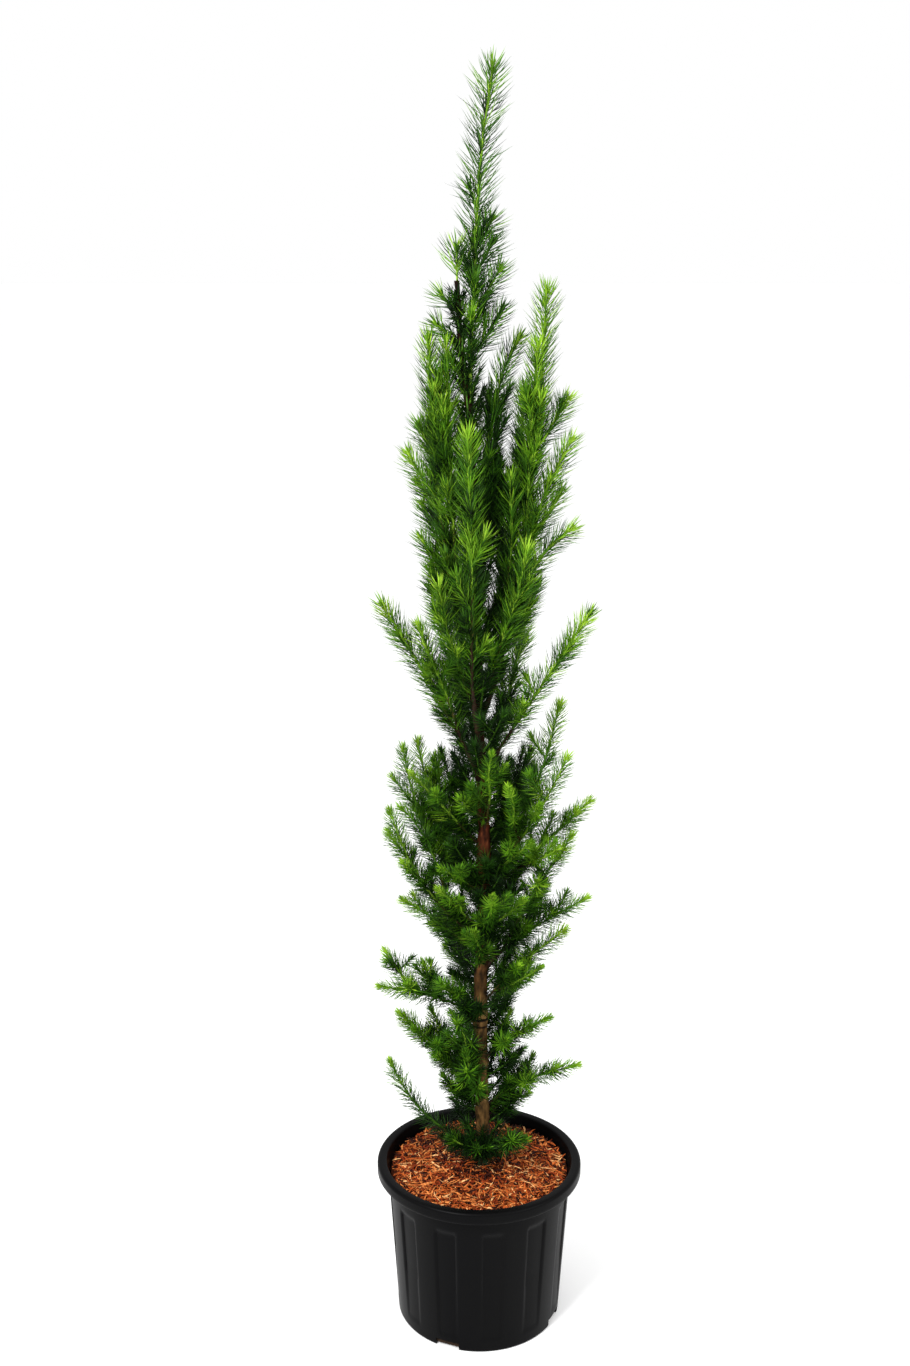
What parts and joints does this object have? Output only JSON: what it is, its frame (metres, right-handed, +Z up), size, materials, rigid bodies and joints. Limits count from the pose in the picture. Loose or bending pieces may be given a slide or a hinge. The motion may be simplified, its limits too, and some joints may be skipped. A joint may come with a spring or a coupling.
{
  "type": "japanese larch",
  "caption": "Young Japanese larch, a narrow conifer with steep boughs and green needles, in a black plastic nursery pot topped with bark mulch.",
  "frame": {"origin": "centre of the pot's flat underside, which stands on the ground", "axes": "+Z up along the trunk, -Y towards the front of the plant, +X to its right as seen from the front"},
  "size_m": [0.3041, 0.284, 1.6769],
  "materials": {
    "black_plastic": "satin black moulded plastic",
    "potting_mix": "dark crumbly bark-based mix",
    "bark_mulch": "orange-brown shredded bark, rough",
    "trunk_bark": "reddish brown finely cracked bark",
    "bough_bark": "orange-brown young bark",
    "needles": "soft green needles, brighter at the tips"
  },
  "bodies": {
    "root": {"bark_mulch": "bark_mulch", "bough_back_mid_left": "bough_bark", "bough_back_mid_right": "bough_bark", "bough_back_tall": "bough_bark", "bough_front_tall": "bough_bark", "bough_left_low": "bough_bark", "bough_left_mid": "bough_bark", "bough_left_tall": "bough_bark", "bough_left_whorl": "bough_bark", "bough_right_low": "bough_bark", "bough_right_mid": "bough_bark", "bough_right_tall": "bough_bark", "bough_right_whorl": "bough_bark", "foliage_back_bottom": "needles", "foliage_back_left": "needles", "foliage_back_low": "needles", "foliage_back_lower": "needles", "foliage_back_mid_left": "needles", "foliage_back_mid_right": "needles", "foliage_back_right": "needles", "foliage_back_right_low": "needles", "foliage_back_tall": "needles", "foliage_back_whorl_high": "needles", "foliage_back_whorl_left": "needles", "foliage_back_whorl_right": "needles", "foliage_front_left": "needles", "foliage_front_low": "needles", "foliage_front_lowest": "needles", "foliage_front_right": "needles", "foliage_front_tall": "needles", "foliage_front_tuft": "needles", "foliage_front_upper": "needles", "foliage_leader": "needles", "foliage_left_back_low": "needles", "foliage_left_bottom": "needles", "foliage_left_front": "needles", "foliage_left_front_low": "needles", "foliage_left_ground": "needles", "foliage_left_inner": "needles", "foliage_left_low": "needles", "foliage_left_mid": "needles", "foliage_left_outer_low": "needles", "foliage_left_tall": "needles", "foliage_left_whorl": "needles", "foliage_left_whorl_front": "needles", "foliage_old_tip": "needles", "foliage_right_bottom": "needles", "foliage_right_front": "needles", "foliage_right_inner": "needles", "foliage_right_inner_low": "needles", "foliage_right_low": "needles", "foliage_right_low_front": "needles", "foliage_right_mid": "needles", "foliage_right_tall": "needles", "foliage_right_upper": "needles", "foliage_right_upright": "needles", "foliage_right_whorl": "needles", "pot": "black_plastic", "potting_mix": "potting_mix", "trunk": "trunk_bark"}
  },
  "joints": []
}
